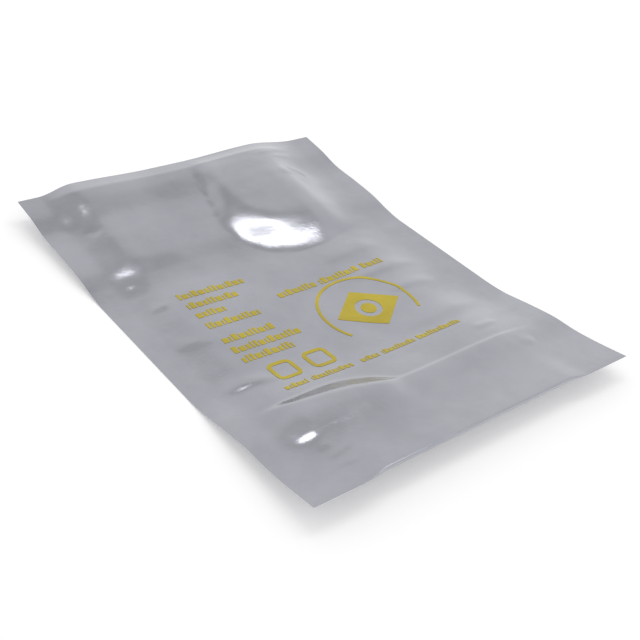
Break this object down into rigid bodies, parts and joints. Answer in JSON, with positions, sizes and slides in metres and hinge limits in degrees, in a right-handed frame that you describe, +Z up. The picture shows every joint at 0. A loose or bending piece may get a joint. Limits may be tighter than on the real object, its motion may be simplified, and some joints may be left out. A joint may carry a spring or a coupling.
{
  "type": "anti static shielding bag",
  "caption": "Flat open-mouth static shielding bag of folded metallised film, heat-sealed down both sides, lying slightly curled, for holding a circuit board.",
  "frame": {"origin": "centre of the bag's plan, on the surface that the back panel rests on", "axes": "+X across the bag, +Y from the folded bottom to the open mouth, +Z up through the printed front panel"},
  "size_m": [0.1524, 0.2018, 0.013],
  "materials": {
    "film": "semi-gloss metallised film",
    "ink": "matt printed ink"
  },
  "bodies": {
    "root": {"film_pouch": "film", "print_column_1": "ink", "print_column_2": "ink", "print_column_3": "ink", "print_column_4": "ink", "print_column_5": "ink", "print_column_6": "ink", "print_column_7": "ink", "print_diamond": "ink", "print_dot": "ink", "print_left_note_1": "ink", "print_left_note_2": "ink", "print_mark_1": "ink", "print_mark_2": "ink", "print_right_note_1": "ink", "print_right_note_2": "ink", "print_right_note_3": "ink", "print_ring": "ink", "print_title_1": "ink", "print_title_2": "ink", "print_title_3": "ink"}
  },
  "joints": []
}
